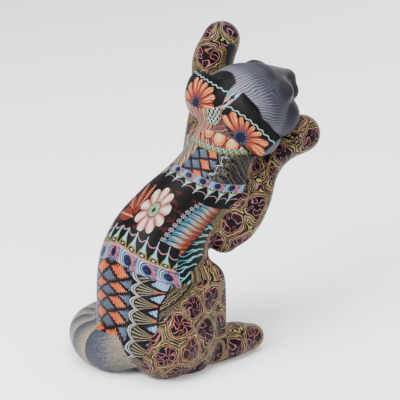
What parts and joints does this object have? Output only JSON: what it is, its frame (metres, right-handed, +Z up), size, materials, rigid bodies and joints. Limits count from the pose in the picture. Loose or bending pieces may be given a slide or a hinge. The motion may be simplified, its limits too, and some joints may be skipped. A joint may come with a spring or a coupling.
{
  "type": "polymer clay cat sculpture",
  "caption": "Cat figurine sitting on its haunches, leaning forward with both front paws raised, tail curled round the side; stands on its seat and feet.",
  "frame": {"origin": "on the ground plane under the hips, on the flat of the seat", "axes": "+Z up; the cat faces -Y; -X is the cat's right"},
  "size_m": [0.075, 0.1101, 0.1217],
  "materials": {
    "patterned_clay": "satin polymer clay with inlaid patterns, smooth and lightly polished"
  },
  "bodies": {
    "root": {"cat_figure": "patterned_clay"}
  },
  "joints": []
}
